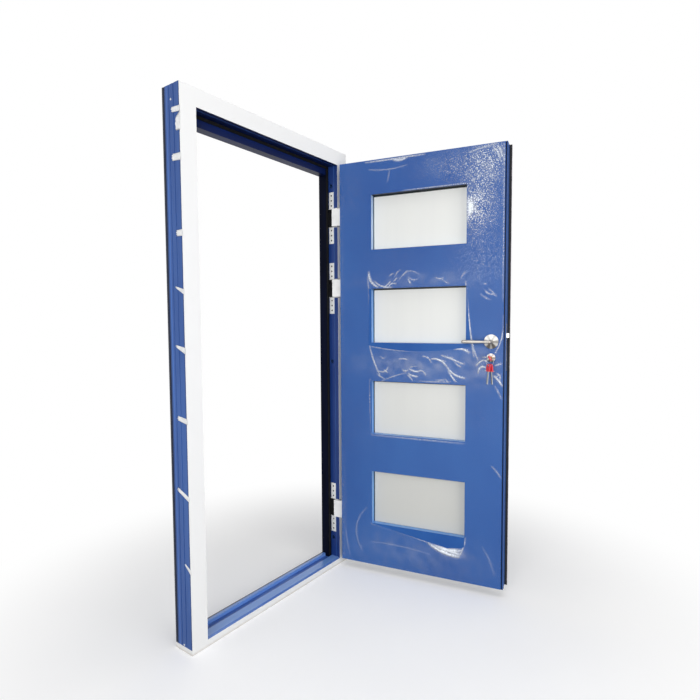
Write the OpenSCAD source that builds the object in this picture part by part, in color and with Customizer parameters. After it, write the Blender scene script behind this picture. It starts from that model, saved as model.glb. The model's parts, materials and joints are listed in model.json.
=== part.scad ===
/* [Frame] */
// Width over both jambs
frame_w = 954; // [850:1:1200]
// Height from the floor to the top of the frame
frame_h = 2100; // [2050:1:2400]
// Depth from the front face to the back face
frame_d = 102; // [95:1:140]
// Face width of each jamb
jamb_face_w = 69; // [60:1:90]
// Face height of the head
head_face_h = 69; // [60:1:90]
// Wall of the frame profiles
frame_wall = 3; // [2.5:0.25:3.5]
// Depth of the rebate that takes the leaf
rebate_d = 58; // [57:0.5:62]
// How far the jamb stops stand into the doorway
stop_w = 21; // [16:1:30]
// Height of the head stop
head_stop_h = 44; // [20:1:60]
// Width of the rubber seal on the stops
seal_w = 12; // [6:0.5:14]

/* [Threshold] */
// Height of the threshold under the jambs
sill_base_h = 20; // [14:1:26]
// Height of the tread above the floor
sill_h = 32; // [28:1:40]
// Height of the upstand above the tread
upstand_h = 10; // [6:1:16]
// Depth from the front face to the upstand
upstand_at = 80; // [70:1:85]

/* [Leaf] */
// Thickness of the leaf over both skins
leaf_t = 58; // [56:0.5:59]
// How far the leaf stands proud of the frame's front face
leaf_proud = 5; // [4:0.5:6]
// Gap between leaf and frame at the sides and top
leaf_gap = 4; // [4:0.25:6]
// Gap between leaf and tread
leaf_bottom_gap = 6; // [4:0.5:10]
// Angle at which the leaf stands open
open_angle = 102; // [0:1:112]
// Sheet thickness of the skins
skin_t = 1.2; // [0.8:0.1:2]
// Width of the tubes inside the leaf
stile_w = 95; // [92:1:110]
// Wall of the tubes inside the leaf
stile_wall = 3.5; // [3:0.25:4]
// How far the black flap reaches past the lock edge
flap_w = 12; // [8:0.5:16]

/* [Lites] */
// Width of each glazed opening
lite_w = 464; // [300:1:480]
// Height of each glazed opening
lite_h = 262; // [180:1:300]
// How far the openings lie from the leaf's middle towards the hinge edge
lite_shift = 4; // [0:0.5:12]
// Height of the lowest opening above the leaf's bottom edge
lite_first_z = 212; // [150:1:240]
// Distance from the highest opening up to the leaf's top edge
lite_top_margin = 163.5; // [140:0.5:200]
// Depth of the reveal in front of the glass
reveal_d = 28; // [20:0.5:32]
// Thickness of the sealed glass unit
glass_t = 20; // [16:0.5:24]

/* [Hinges] */
// Height of the whole hinge on the jamb
hinge_h = 256; // [220:1:280]
// Height of the swinging arm
arm_h = 86; // [70:1:100]
// Distance of the pin inside the rebate wall
pin_in = 24; // [22:0.5:26]
// Depth of the pin behind the frame's front face
pin_deep = 13; // [12:0.25:13.5]
// Diameter of the pin
pin_d = 10; // [8:0.5:11]
// Height of the lowest hinge's middle above the floor
hinge_low_z = 290; // [260:1:340]
// Distance from the top of the frame down to the top hinge's middle
hinge_top_drop = 325; // [310:1:360]
// Distance between the two upper hinges, middle to middle
hinge_step = 352; // [320:1:420]

/* [Anchors] */
// Diameter of the wall anchor holes
anchor_d = 20; // [16:0.5:22]
// Depth of the anchor holes behind the front face
anchor_deep = 42; // [36:0.5:46]
// Height of the lowest anchor hole
anchor_low_z = 130; // [90:1:150]
// Distance from the middle hinge's middle down to the hinge jamb's middle anchor hole
anchor_mid_drop = 372; // [340:1:420]
// Distance from the top of the frame down to the top anchor hole
anchor_top_drop = 166; // [140:1:175]

/* [Lock] */
// Height of the lever's axis above the leaf's bottom edge
lock_z = 1124; // [1090:1:1180]
// Distance from the lock edge to the lever's axis
backset = 62; // [55:1:65]
// Distance from the lever's axis down to the cylinder's axis
cylinder_drop = 72; // [70:1:80]
// Length of the lever from its axis to its tip
lever_len = 124; // [100:1:140]
// Diameter of the lever's bar
lever_d = 16; // [13:0.5:18]
// Diameter of the lever's rose
rose_d = 64; // [54:1:68]
// Diameter of the cylinder's rose
escutcheon_d = 39; // [37:1:46]
// Travel of the latch bolt
latch_throw = 11; // [8:0.5:12]
// Travel of the dead bolt
bolt_throw = 20; // [12:0.5:22]

/* [Keys] */
// Width of a key's bow
bow_w = 24; // [20:0.5:26]
// Length of a key's bow
bow_len = 34; // [30:0.5:38]
// Thickness of a key's bow
bow_t = 4.5; // [3.5:0.1:5]
// Angle by which the key in the lock leans from upright
key_lean = 30; // [20:1:35]
// Diameter of the key ring, middle of the wire
ring_d = 32; // [30:0.5:36]
// Diameter of the ring's wire
ring_wire_d = 1.6; // [1.2:0.1:2]

/* [Wrapping] */
// Thickness of the white sheet on the front face
sheet_t = 0.8; // [0.5:0.1:1]
// Width of a tape tab, measured up the jamb
tape_w = 26; // [15:1:45]
// Length of a tape tab on the jamb's side
tape_reach = 45; // [10:1:60]

/* [Hidden] */
$fn = 48;

// Overrun of every cut past the face that it opens
cut = 1;
// Clearance between pieces that only face each other
clear = 0.3;
// Radial running clearance of pins and plugs
run = 0.05;

// Places of the frame: the doorway is the space between the jambs' rebate walls
front_y = -frame_d / 2;
back_y = frame_d / 2;
door_w = frame_w - 2 * jamb_face_w;
wall_x = door_w / 2;
door_top_z = frame_h - head_face_h;
stop_y = front_y + rebate_d;
profile_groove_w = 5;
profile_groove_deep = 1.5;
rebate_groove_at = 20;
side_groove_at_shares = [0.3, 0.56, 0.85];
stop_wall = 2.5;
sill_lip_w = 10;
sill_lip_drop = 4;
sill_groove_at = 52;
sill_groove_deep = 4;
seal_inset = 2;
corner_screw_head_d = 8;
corner_screw_head_t = 2;
corner_screw_d = 5;
corner_screw_bite = 20;
corner_screw_len = jamb_face_w + corner_screw_bite;
corner_screw_deep = 50;
corner_screw_top_drop = 53;
corner_screw_low_z = (sill_base_h + sill_h) / 2;
corner_port_d = 12;

// Places of the leaf, as it lies when shut
leaf_x0 = -wall_x + leaf_gap;
leaf_x1 = wall_x - leaf_gap;
leaf_y0 = front_y - leaf_proud;
leaf_y1 = leaf_y0 + leaf_t;
leaf_z0 = sill_h + leaf_bottom_gap;
leaf_z1 = door_top_z - leaf_gap;
core_y0 = leaf_y0 + skin_t;
core_y1 = leaf_y1 - skin_t;
seal_t = stop_y - leaf_y1 - clear;
edge_lip_w = 3.5;
edge_groove_w = 5.5;
edge_groove_deep = 1.5;
skin_x0 = leaf_x0 + edge_lip_w + edge_groove_w;
bottom_seal_w = 10;

// Places of the lites
lite_count = 4;
lite_x0 = lite_shift - lite_w / 2;
lite_x1 = lite_shift + lite_w / 2;
lite_span = leaf_z1 - leaf_z0 - lite_first_z - lite_top_margin - lite_h;
lite_pitch = lite_span / (lite_count - 1);
lite_wall = 8;
lite_rabbet = 6;
gasket_t = 1.5;
gasket_w = 5;

// Places of the hinges
hinge_top_z = frame_h - hinge_top_drop;
hinge_mid_z = hinge_top_z - hinge_step;
hinge_zs = [hinge_top_z, hinge_mid_z, hinge_low_z];
anchor_top_z = frame_h - anchor_top_drop;
pin_x = wall_x + pin_in;
pin_y = front_y + pin_deep;
housing_wall = 2;
pocket_past_pin = 24;
pocket_in = pin_in + pocket_past_pin;
pocket_deep = 62;
pocket_room = 2;
pocket_h = arm_h + 2 * pocket_room;
mouth_w = 14;
knuckle_wall = 3.5;
knuckle_d = pin_d + 2 * knuckle_wall;
arm_t = 9;
arm_back = 22;
arm_reach = 27;
screw_plate_t = 2;
screw_plate_w = 29;
screw_plate_deep = 25;
arm_plate_t = 2.5;
arm_plate_w = 22;
arm_plate_over = 30;
arm_plate_h = arm_h + 2 * arm_plate_over;
hinge_screw_d = 8;
hinge_screw_len = 9;
hinge_screw_shares = [0.2, 0.5, 0.8];

// Places of the lock
axis_x = leaf_x0 + backset;
axis_z = leaf_z0 + lock_z;
cylinder_z = axis_z - cylinder_drop;
lock_y = leaf_y0 + leaf_t / 2;
face_t = 2.5;
face_w = 22;
face_h = 210;
face_drop = 25;
case_wall = 1.5;
case_t = 17;
case_deep = 26;
case_h = 168;
case_drop = 22;
latch_t = 11;
latch_h = 20;
latch_len = 44;
latch_rise = 27;
latch_z = axis_z + latch_rise;
dead_t = 11;
dead_h = 34;
dead_grip = 22;
dead_len = bolt_throw + dead_grip;
latch_nose = 2.5;
window_room = 0.7;
spindle_w = 8;
spindle_grip = 24;
neck_d = 19;
rose_t = 9;
rose_step_d = 34;
rose_step_t = 3;
lever_stand = 50;
escutcheon_t = 7;
barrel_d = 17;
barrel_web_w = 10;
barrel_web_h = 16;
plug_d = 13;
keyway_w = 2.6;
keyway_h = 8.4;
strike_w = 24;
strike_h = 190;
strike_t = 2.5;
face_screw_d = 6;
face_screw_len = 10;
face_screw_inset = 8;

// Places of the keys
bow_hole_d = 12;
bow_end = 9;
blade_t = 2.2;
blade_h = 8;
blade_in = 26;
blade_neck = 4;
spare_blade_len = 56;
spare_turn = 48;
spare_spread = 5;
spare_splay = 4;
spare_slack = 2.6;
key_y0 = leaf_y1 + escutcheon_t + blade_neck;
ring_y = key_y0 + bow_len - bow_end;

// Places of the wrapping
tape_t = 0.4;
tape_face = 16;
tape_height_shares = [0.156, 0.288, 0.424, 0.548, 0.65, 0.748, 0.876, 0.939];

frame_blue = "#46659f";
leaf_blue = "#3c64af";
rubber_black = "#141416";
sheet_white = "#fbfbfb";
hinge_silver = "#dcdcd8";
lock_steel = "#b8b6b0";
key_red = "#d8343c";

// Helpers: a block between two corners, and rods along each axis

module block(x0, x1, y0, y1, z0, z1) {
    translate([x0, y0, z0])
        cube([x1 - x0, y1 - y0, z1 - z0]);
}

module rod_x(x0, x1, y, z, d) {
    translate([x0, y, z])
        rotate([0, 90, 0])
            cylinder(h = x1 - x0, d = d);
}

module rod_y(x, y0, y1, z, d) {
    translate([x, y1, z])
        rotate([90, 0, 0])
            cylinder(h = y1 - y0, d = d);
}

module rod_z(x, y, z0, z1, d) {
    translate([x, y, z0])
        cylinder(h = z1 - z0, d = d);
}

// Swings a piece of the leaf from shut to the open position
module opened() {
    translate([pin_x, pin_y, 0])
        rotate([0, 0, open_angle])
            translate([-pin_x, -pin_y, 0])
                children();
}

// Extrudes a section drawn as depth and height along the frame's width
module along_x(x0, x1) {
    translate([x0, 0, 0])
        rotate([90, 0, 90])
            linear_extrude(x1 - x0)
                children();
}

// Frame

module jamb_section() {
    difference() {
        square([jamb_face_w, frame_d]);
        translate([frame_wall, frame_wall])
            square([jamb_face_w - 2 * frame_wall, rebate_d - 2 * frame_wall]);
        translate([frame_wall, rebate_d])
            square([jamb_face_w - 2 * frame_wall, frame_d - rebate_d - frame_wall]);
        translate([-cut, rebate_groove_at])
            square([profile_groove_deep + cut, profile_groove_w]);
        for (share = side_groove_at_shares)
            translate([jamb_face_w - profile_groove_deep, share * frame_d])
                square([profile_groove_deep + cut, profile_groove_w]);
    }
}

module jamb_bar() {
    translate([wall_x, front_y, sill_base_h])
        linear_extrude(frame_h - sill_base_h)
            jamb_section();
}

module anchor_holes() {
    for (z = [anchor_low_z, hinge_mid_z - anchor_mid_drop, anchor_top_z])
        rod_x(wall_x - cut, frame_w / 2 + cut, front_y + anchor_deep, z, anchor_d);
}

module corner_screw_places() {
    for (z = [corner_screw_low_z, frame_h - corner_screw_top_drop])
        translate([frame_w / 2, front_y + corner_screw_deep, z])
            children();
}

module corner_screw(over) {
    rod_x(-corner_screw_head_t, over, 0, 0, corner_screw_head_d);
    rod_x(-corner_screw_len, over, 0, 0, corner_screw_d);
}

module hinge_jamb() {
    color(frame_blue)
        difference() {
            jamb_bar();
            anchor_holes();
            corner_screw_places()
                corner_screw(cut);
            for (z = hinge_zs)
                translate([0, 0, z])
                    hinge_cutout();
        }
}

module lock_jamb() {
    color(frame_blue)
        difference() {
            mirror([1, 0, 0])
                jamb_bar();
            mirror([1, 0, 0])
                corner_screw_places()
                    corner_screw(cut);
            strike_recess();
        }
}

module frame_head() {
    color(frame_blue)
        along_x(-wall_x, wall_x)
            translate([front_y, door_top_z])
                difference() {
                    union() {
                        head_section();
                        screw_port()
                            circle(d = corner_port_d);
                    }
                    screw_port()
                        circle(d = corner_screw_d);
                }
}

// Tube in the head that the corner screws run into
module screw_port() {
    translate([corner_screw_deep, head_face_h - corner_screw_top_drop])
        children();
}

module head_section() {
    difference() {
        square([frame_d, head_face_h]);
        translate([frame_wall, frame_wall])
            square([rebate_d - 2 * frame_wall, head_face_h - 2 * frame_wall]);
        translate([rebate_d, frame_wall])
            square([frame_d - rebate_d - frame_wall, head_face_h - 2 * frame_wall]);
        translate([rebate_groove_at, -cut])
            square([profile_groove_w, profile_groove_deep + cut]);
    }
}

module threshold() {
    tread_front = sill_h - sill_lip_drop;
    groove_z = sill_h - sill_groove_deep;
    color(frame_blue)
        difference() {
            along_x(-frame_w / 2, frame_w / 2)
                translate([front_y, 0])
                    difference() {
                        polygon([
                            [0, 0],
                            [0, tread_front],
                            [sill_lip_w, sill_h],
                            [sill_groove_at, sill_h],
                            [sill_groove_at, groove_z],
                            [upstand_at, groove_z],
                            [upstand_at, sill_h + upstand_h],
                            [frame_d, sill_h + upstand_h],
                            [frame_d, 0]
                        ]);
                        translate([frame_wall, frame_wall])
                            square([frame_d - 2 * frame_wall, sill_base_h - 2 * frame_wall]);
                    }
            for (side = [0, 1])
                mirror([side, 0, 0])
                    block(wall_x, frame_w / 2 + cut, front_y - cut, back_y + cut,
                        sill_base_h, frame_h);
            for (side = [0, 1])
                mirror([side, 0, 0])
                    corner_screw_places()
                        corner_screw(0);
        }
}

module hollow_stop(x0, x1, z0, z1) {
    difference() {
        block(x0, x1, stop_y, back_y, z0, z1);
        block(x0 + stop_wall, x1 - stop_wall, stop_y + stop_wall, back_y - stop_wall,
            z0 + stop_wall, z1 - stop_wall);
    }
}

module jamb_stop() {
    upstand_z = sill_h + upstand_h;
    color(rubber_black)
        difference() {
            hollow_stop(wall_x - stop_w, wall_x, sill_h - sill_groove_deep, door_top_z);
            block(wall_x - stop_w - cut, wall_x + cut, front_y + upstand_at, back_y + cut,
                0, upstand_z);
        }
}

module hinge_stop() {
    jamb_stop();
}

module lock_stop() {
    mirror([1, 0, 0])
        jamb_stop();
}

module head_stop() {
    color(rubber_black)
        hollow_stop(-wall_x + stop_w, wall_x - stop_w, door_top_z - head_stop_h, door_top_z);
}

module frame_seal() {
    edge_x = wall_x - stop_w + seal_inset;
    top_z = door_top_z - seal_w;
    color(rubber_black)
        union() {
            for (side = [0, 1])
                mirror([side, 0, 0])
                    block(edge_x, edge_x + seal_w, stop_y - seal_t, stop_y,
                        leaf_z0, door_top_z - seal_inset);
            block(-edge_x, edge_x, stop_y - seal_t, stop_y, top_z - seal_inset,
                door_top_z - seal_inset);
        }
}

module corner_screws() {
    color(lock_steel)
        for (side = [0, 1])
            mirror([side, 0, 0])
                corner_screw_places()
                    corner_screw(0);
}

// Strike plate in the lock jamb's rebate wall

module strike_block(grow, deep) {
    block(-wall_x - deep, -wall_x + grow, lock_y - strike_w / 2, lock_y + strike_w / 2,
        axis_z - face_drop - strike_h / 2, axis_z - face_drop + strike_h / 2);
}

module bolt_windows(x0, x1, room) {
    block(x0, x1, lock_y - latch_t / 2 - room, lock_y + latch_t / 2 + room,
        latch_z - latch_h / 2 - room, latch_z + latch_h / 2 + room);
    block(x0, x1, lock_y - dead_t / 2 - room, lock_y + dead_t / 2 + room,
        cylinder_z - dead_h / 2 - room, cylinder_z + dead_h / 2 + room);
}

module strike_recess() {
    strike_block(cut, strike_t);
    bolt_windows(-wall_x - frame_wall - cut, -wall_x, window_room);
}

module strike_plate() {
    color(lock_steel)
        difference() {
            strike_block(0, strike_t);
            bolt_windows(-wall_x - strike_t - cut, -wall_x + cut, clear);
        }
}

// Hinges: a housing let into the jamb, a pin, and an angled arm fixed to the leaf's edge

module hinge_cutout() {
    half_h = pocket_h / 2 + housing_wall;
    block(wall_x - cut, wall_x + pocket_in + housing_wall, front_y + frame_wall,
        front_y + pocket_deep + housing_wall, -half_h, half_h);
    block(wall_x - cut, wall_x + mouth_w, front_y - cut, front_y + frame_wall + cut,
        -half_h, half_h);
    block(wall_x - cut, wall_x + screw_plate_t, front_y + screw_plate_deep,
        front_y + screw_plate_deep + screw_plate_w, -hinge_h / 2, hinge_h / 2);
    screw_places()
        rod_x(wall_x, wall_x + hinge_screw_len, 0, 0, hinge_screw_d);
}

module screw_places() {
    plate_h = (hinge_h - pocket_h) / 2;
    for (side = [-1, 1], share = hinge_screw_shares)
        translate([0, front_y + screw_plate_deep + screw_plate_w / 2,
                side * (pocket_h / 2 + share * plate_h)])
            children();
}

module hinge_housing(z) {
    half_h = pocket_h / 2;
    color(hinge_silver)
        translate([0, 0, z])
            difference() {
                union() {
                    block(wall_x, wall_x + pocket_in + housing_wall, front_y + frame_wall,
                        front_y + pocket_deep + housing_wall, -half_h - housing_wall,
                        half_h + housing_wall);
                    block(wall_x, wall_x + screw_plate_t, front_y + screw_plate_deep,
                        front_y + screw_plate_deep + screw_plate_w, -hinge_h / 2, hinge_h / 2);
                }
                block(wall_x - cut, wall_x + pocket_in, front_y + frame_wall - cut,
                    front_y + pocket_deep, -half_h, half_h);
                rod_z(pin_x, pin_y, -half_h - housing_wall - cut, half_h + housing_wall + cut,
                    pin_d + 2 * run);
                screw_places()
                    rod_x(wall_x - cut, wall_x + hinge_screw_len, 0, 0, hinge_screw_d);
            }
}

module hinge_pins() {
    half_h = pocket_h / 2 + housing_wall;
    color(lock_steel)
        for (z = hinge_zs)
            rod_z(pin_x, pin_y, z - half_h, z + half_h, pin_d);
}

module housing_screws() {
    color(lock_steel)
        for (z = hinge_zs)
            translate([0, 0, z])
                screw_places()
                    rod_x(wall_x, wall_x + hinge_screw_len, 0, 0, hinge_screw_d);
}

module arm_plate(grow) {
    plate_y0 = pin_y + arm_reach - arm_plate_w / 2;
    block(leaf_x1 - arm_plate_t, leaf_x1 + grow, plate_y0, plate_y0 + arm_plate_w,
        -arm_plate_h / 2, arm_plate_h / 2);
}

module arm_screw_places() {
    for (side = [-1, 1])
        translate([0, pin_y + arm_reach, side * (arm_h + arm_plate_over) / 2])
            children();
}

module hinge_arm(z) {
    half_h = arm_h / 2;
    color(hinge_silver)
        opened()
            translate([0, 0, z])
                difference() {
                    union() {
                        rod_z(pin_x, pin_y, -half_h, half_h, knuckle_d);
                        block(pin_x - arm_t / 2, pin_x + arm_back, pin_y,
                            pin_y + arm_reach + arm_t / 2, -half_h, half_h);
                        block(leaf_x1, pin_x + arm_t / 2, pin_y + arm_reach - arm_t / 2,
                            pin_y + arm_reach + arm_t / 2, -half_h, half_h);
                        arm_plate(0);
                    }
                    rod_z(pin_x, pin_y, -half_h - cut, half_h + cut, pin_d + 2 * run);
                    arm_screw_places()
                        rod_x(leaf_x1 - arm_plate_t - cut, leaf_x1 + cut, 0, 0, hinge_screw_d);
                }
}

module arm_screws() {
    color(lock_steel)
        opened()
            for (z = hinge_zs)
                translate([0, 0, z])
                    arm_screw_places()
                        rod_x(leaf_x1 - hinge_screw_len, leaf_x1, 0, 0, hinge_screw_d);
}

// White protective sheet on the frame's front face, and its tape

module lock_sheet() {
    color(sheet_white)
        union() {
            block(-frame_w / 2, -wall_x, front_y - sheet_t, front_y, 0, frame_h);
            block(-frame_w / 2 - sheet_t, -frame_w / 2, front_y - sheet_t, back_y, 0, sill_base_h);
        }
}

module hinge_sheet() {
    half_h = pocket_h / 2 + housing_wall;
    color(sheet_white)
        difference() {
            block(wall_x, frame_w / 2, front_y - sheet_t, front_y, 0, frame_h);
            for (z = hinge_zs)
                block(wall_x - cut, wall_x + mouth_w, front_y - sheet_t - cut, front_y + cut,
                    z - half_h, z + half_h);
        }
}

module head_sheet() {
    color(sheet_white)
        block(-wall_x, wall_x, front_y - sheet_t, front_y, door_top_z, frame_h);
}

module sill_sheet() {
    color(sheet_white)
        block(-wall_x, wall_x, front_y - sheet_t, front_y, 0, sill_h - sill_lip_drop);
}

module tape_tabs() {
    face_y = front_y - sheet_t;
    side_x = -frame_w / 2;
    color(sheet_white)
        for (share = tape_height_shares)
            translate([0, 0, share * frame_h - tape_w / 2])
                union() {
                    block(side_x - tape_t, side_x + tape_face, face_y - tape_t, face_y, 0, tape_w);
                    block(side_x - tape_t, side_x, face_y, front_y + tape_reach, 0, tape_w);
                }
}

// Leaf: tubes and core between two skins

module edge_tube(x0, x1, z0, z1) {
    difference() {
        block(x0, x1, core_y0, core_y1, z0, z1);
        block(x0 + stile_wall, x1 - stile_wall, core_y0 + stile_wall, core_y1 - stile_wall,
            z0 + stile_wall, z1 - stile_wall);
    }
}

module hinge_stile() {
    color(leaf_blue)
        opened()
            difference() {
                edge_tube(leaf_x1 - stile_w, leaf_x1, leaf_z0, leaf_z1);
                for (z = hinge_zs)
                    translate([0, 0, z]) {
                        arm_plate(cut);
                        arm_screw_places()
                            rod_x(leaf_x1 - hinge_screw_len, leaf_x1, 0, 0, hinge_screw_d);
                    }
            }
}

module lock_case_block(grow) {
    block(leaf_x0 + face_t - grow, axis_x + case_deep + grow, lock_y - case_t / 2 - grow,
        lock_y + case_t / 2 + grow, axis_z - case_drop - case_h / 2 - grow,
        axis_z - case_drop + case_h / 2 + grow);
}

module faceplate_block(grow) {
    block(leaf_x0 - grow, leaf_x0 + face_t, lock_y - face_w / 2, lock_y + face_w / 2,
        axis_z - face_drop - face_h / 2, axis_z - face_drop + face_h / 2);
}

module cylinder_profile(y0, y1, grow) {
    rod_y(axis_x, y0, y1, cylinder_z, barrel_d + 2 * grow);
    block(axis_x - barrel_web_w / 2 - grow, axis_x + barrel_web_w / 2 + grow, y0, y1,
        cylinder_z - barrel_web_h - grow, cylinder_z);
}

module lock_holes() {
    y0 = leaf_y0 - cut;
    y1 = leaf_y1 + cut;
    rod_y(axis_x, y0, y1, axis_z, neck_d + 2 * clear);
    cylinder_profile(y0, y1, clear);
}

module lock_stile() {
    color(leaf_blue)
        opened()
            difference() {
                union() {
                    edge_tube(leaf_x0, leaf_x0 + stile_w, leaf_z0, leaf_z1);
                    block(leaf_x0, leaf_x0 + edge_lip_w, core_y1 - stile_wall, leaf_y1,
                        leaf_z0, leaf_z1);
                }
                block(leaf_x0 + edge_lip_w, skin_x0, core_y1 - edge_groove_deep, leaf_y1 + cut,
                    leaf_z0 - cut, leaf_z1 + cut);
                faceplate_block(cut);
                lock_case_block(clear);
                lock_holes();
                face_screw_places()
                    rod_x(0, face_screw_len, 0, 0, face_screw_d);
            }
}

module cross_rail(z0) {
    edge_tube(leaf_x0 + stile_w, leaf_x1 - stile_w, z0, z0 + stile_w);
}

module top_rail() {
    color(leaf_blue)
        opened()
            cross_rail(leaf_z1 - stile_w);
}

module bottom_rail() {
    color(leaf_blue)
        opened()
            cross_rail(leaf_z0);
}

module lite_places() {
    for (n = [0 : lite_count - 1])
        translate([0, 0, leaf_z0 + lite_first_z + n * lite_pitch])
            children();
}

module lite_block(grow, y0, y1) {
    block(lite_x0 - grow, lite_x1 + grow, y0, y1, -grow, lite_h + grow);
}

module leaf_core() {
    color("#d9d3b0")
        opened()
            difference() {
                block(leaf_x0 + stile_w, leaf_x1 - stile_w, core_y0, core_y1,
                    leaf_z0 + stile_w, leaf_z1 - stile_w);
                lite_places()
                    lite_block(lite_wall, core_y0 - cut, core_y1 + cut);
            }
}

module outside_skin() {
    color(leaf_blue)
        opened()
            difference() {
                block(skin_x0, leaf_x1, core_y1, leaf_y1, leaf_z0, leaf_z1);
                lite_places()
                    lite_block(0, core_y1 - cut, leaf_y1 + cut);
                lock_holes();
            }
}

module inside_skin() {
    color(leaf_blue)
        opened()
            difference() {
                block(leaf_x0, leaf_x1, leaf_y0, core_y0, leaf_z0, leaf_z1);
                lite_places()
                    lite_block(lite_rabbet, leaf_y0 - cut, core_y0 + cut);
                lock_holes();
            }
}

module lock_edge_flap() {
    color(rubber_black)
        opened()
            block(leaf_x0 - flap_w, leaf_x0, leaf_y0, front_y - sheet_t - tape_t - clear,
                leaf_z0, leaf_z1);
}

module bottom_seal() {
    color(rubber_black)
        opened()
            block(leaf_x0, leaf_x1, lock_y - bottom_seal_w / 2, lock_y + bottom_seal_w / 2,
                leaf_z0 - leaf_bottom_gap + 2 * clear, leaf_z0);
}

// Lites: a lining with a rabbet, a sealed glass unit between gaskets, and a bead

glass_y1 = core_y1 - reveal_d;
glass_y0 = glass_y1 - glass_t;

module lite_frame(n) {
    color(leaf_blue)
        opened()
            translate([0, 0, leaf_z0 + lite_first_z + n * lite_pitch])
                difference() {
                    lite_block(lite_wall, core_y0, core_y1);
                    lite_block(0, core_y0 - cut, core_y1 + cut);
                    lite_block(lite_rabbet, core_y0 - cut, glass_y1 + gasket_t);
                }
}

module glass(n) {
    color("#e4e5e0")
        opened()
            translate([0, 0, leaf_z0 + lite_first_z + n * lite_pitch])
                lite_block(lite_rabbet - clear, glass_y0, glass_y1);
}

module gasket_ring(y0, y1) {
    difference() {
        lite_block(lite_rabbet - clear, y0, y1);
        lite_block(lite_rabbet - gasket_w, y0 - cut, y1 + cut);
    }
}

module glazing_gaskets() {
    color(rubber_black)
        opened()
            lite_places() {
                gasket_ring(glass_y1, glass_y1 + gasket_t);
                gasket_ring(glass_y0 - gasket_t, glass_y0);
            }
}

module glazing_beads() {
    color(leaf_blue)
        opened()
            lite_places()
                difference() {
                    lite_block(lite_rabbet - clear, leaf_y0, glass_y0 - gasket_t);
                    lite_block(0, leaf_y0 - cut, glass_y0);
                }
}

// Lock: case, faceplate, bolts, levers and cylinder

module lock_case() {
    color(lock_steel)
        opened()
            difference() {
                lock_case_block(0);
                lock_case_block(-case_wall);
                lock_holes();
                bolt_windows(leaf_x0, leaf_x0 + face_t + case_wall + cut, clear);
            }
}

module face_screw_places() {
    for (side = [-1, 1])
        translate([leaf_x0, lock_y, axis_z - face_drop + side * (face_h / 2 - face_screw_inset)])
            children();
}

module faceplate() {
    color(lock_steel)
        opened()
            difference() {
                faceplate_block(0);
                bolt_windows(leaf_x0 - cut, leaf_x0 + face_t + cut, clear);
                face_screw_places()
                    rod_x(-cut, face_t + cut, 0, 0, face_screw_d);
            }
}

module lock_screws() {
    color(lock_steel)
        opened()
            face_screw_places()
                rod_x(0, face_screw_len, 0, 0, face_screw_d);
}

module rose_disc(bore) {
    difference() {
        union() {
            cylinder(h = rose_t - rose_step_t, d = rose_d);
            cylinder(h = rose_t, d = rose_step_d);
        }
        translate([0, 0, -cut])
            cylinder(h = rose_t + 2 * cut, d = bore);
    }
}

module outside_rose() {
    color(lock_steel)
        opened()
            translate([axis_x, leaf_y1, axis_z])
                rotate([-90, 0, 0])
                    rose_disc(neck_d + 2 * run);
}

module inside_rose() {
    color(lock_steel)
        opened()
            translate([axis_x, leaf_y0, axis_z])
                rotate([90, 0, 0])
                    rose_disc(neck_d + 2 * run);
}

module escutcheon(y0, y1) {
    difference() {
        rod_y(axis_x, y0, y1, cylinder_z, escutcheon_d);
        cylinder_profile(y0 - cut, y1 + cut, clear);
    }
}

module outside_escutcheon() {
    color(lock_steel)
        opened()
            escutcheon(leaf_y1, leaf_y1 + escutcheon_t - cut);
}

module inside_escutcheon() {
    color(lock_steel)
        opened()
            escutcheon(leaf_y0 - escutcheon_t + cut, leaf_y0);
}

module cylinder_body() {
    color(lock_steel)
        opened()
            difference() {
                cylinder_profile(leaf_y0 - escutcheon_t, leaf_y1 + escutcheon_t, 0);
                rod_y(axis_x, leaf_y0 - escutcheon_t - cut, leaf_y1 + escutcheon_t + cut,
                    cylinder_z, plug_d + 2 * run);
            }
}

module lever_bar(bar_y) {
    rod_x(axis_x, axis_x + lever_len - lever_d / 2, bar_y, axis_z, lever_d);
    translate([axis_x + lever_len - lever_d / 2, bar_y, axis_z])
        sphere(d = lever_d);
    translate([axis_x, bar_y, axis_z])
        sphere(d = neck_d);
}

module spindle_block() {
    block(axis_x - spindle_w / 2, axis_x + spindle_w / 2, leaf_y0 - spindle_grip,
        leaf_y1 + spindle_grip, axis_z - spindle_w / 2, axis_z + spindle_w / 2);
}

module outside_lever() {
    color(lock_steel)
        opened()
            difference() {
                union() {
                    rod_y(axis_x, leaf_y1 - skin_t, leaf_y1 + lever_stand, axis_z, neck_d);
                    lever_bar(leaf_y1 + lever_stand);
                }
                spindle_block();
            }
}

module inside_lever() {
    color(lock_steel)
        opened()
            difference() {
                union() {
                    rod_y(axis_x, leaf_y0 - lever_stand, leaf_y0 + skin_t, axis_z, neck_d);
                    lever_bar(leaf_y0 - lever_stand);
                }
                spindle_block();
            }
}

module spindle() {
    color(lock_steel)
        opened()
            spindle_block();
}

module latch_bolt() {
    tip_x = leaf_x0 - latch_throw;
    tail_x = tip_x + latch_len;
    color(lock_steel)
        opened()
            translate([0, 0, latch_z - latch_h / 2])
                linear_extrude(latch_h)
                    polygon([
                        [leaf_x0, lock_y + latch_t / 2],
                        [tip_x, lock_y - latch_t / 2 + latch_nose],
                        [tip_x, lock_y - latch_t / 2],
                        [tail_x, lock_y - latch_t / 2],
                        [tail_x, lock_y + latch_t / 2]
                    ]);
}

module dead_bolt() {
    color(lock_steel)
        opened()
            block(leaf_x0, leaf_x0 + dead_len, lock_y - dead_t / 2, lock_y + dead_t / 2,
                cylinder_z - dead_h / 2, cylinder_z + dead_h / 2);
}

// Keys: one stands in the cylinder, and the ring through its bow carries two more

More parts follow.
